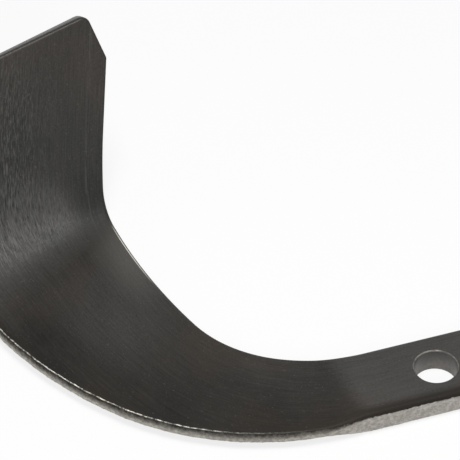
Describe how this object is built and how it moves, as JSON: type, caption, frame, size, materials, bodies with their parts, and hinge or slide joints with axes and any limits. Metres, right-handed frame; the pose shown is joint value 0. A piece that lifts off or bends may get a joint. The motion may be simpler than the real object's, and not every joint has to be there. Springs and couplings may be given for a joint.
{
  "type": "rotary tiller blade",
  "caption": "Forged steel rotary tiller blade: a flat shank with a bolt hole runs into a curved, tapered sickle that bends up into a flat wing with an angled end.",
  "frame": {"origin": "centre of the bolt hole on the underside of the shank", "axes": "+Z along the bolt hole, out of the face that the wing is bent towards; +X along the shank, from the blade towards its bolted end; +Y from the shank towards the wing"},
  "size_m": [0.1501, 0.15, 0.0642],
  "materials": {
    "black_paint": "semi-gloss black paint over forged steel"
  },
  "bodies": {
    "root": {"tiller_blade": "black_paint"}
  },
  "joints": []
}
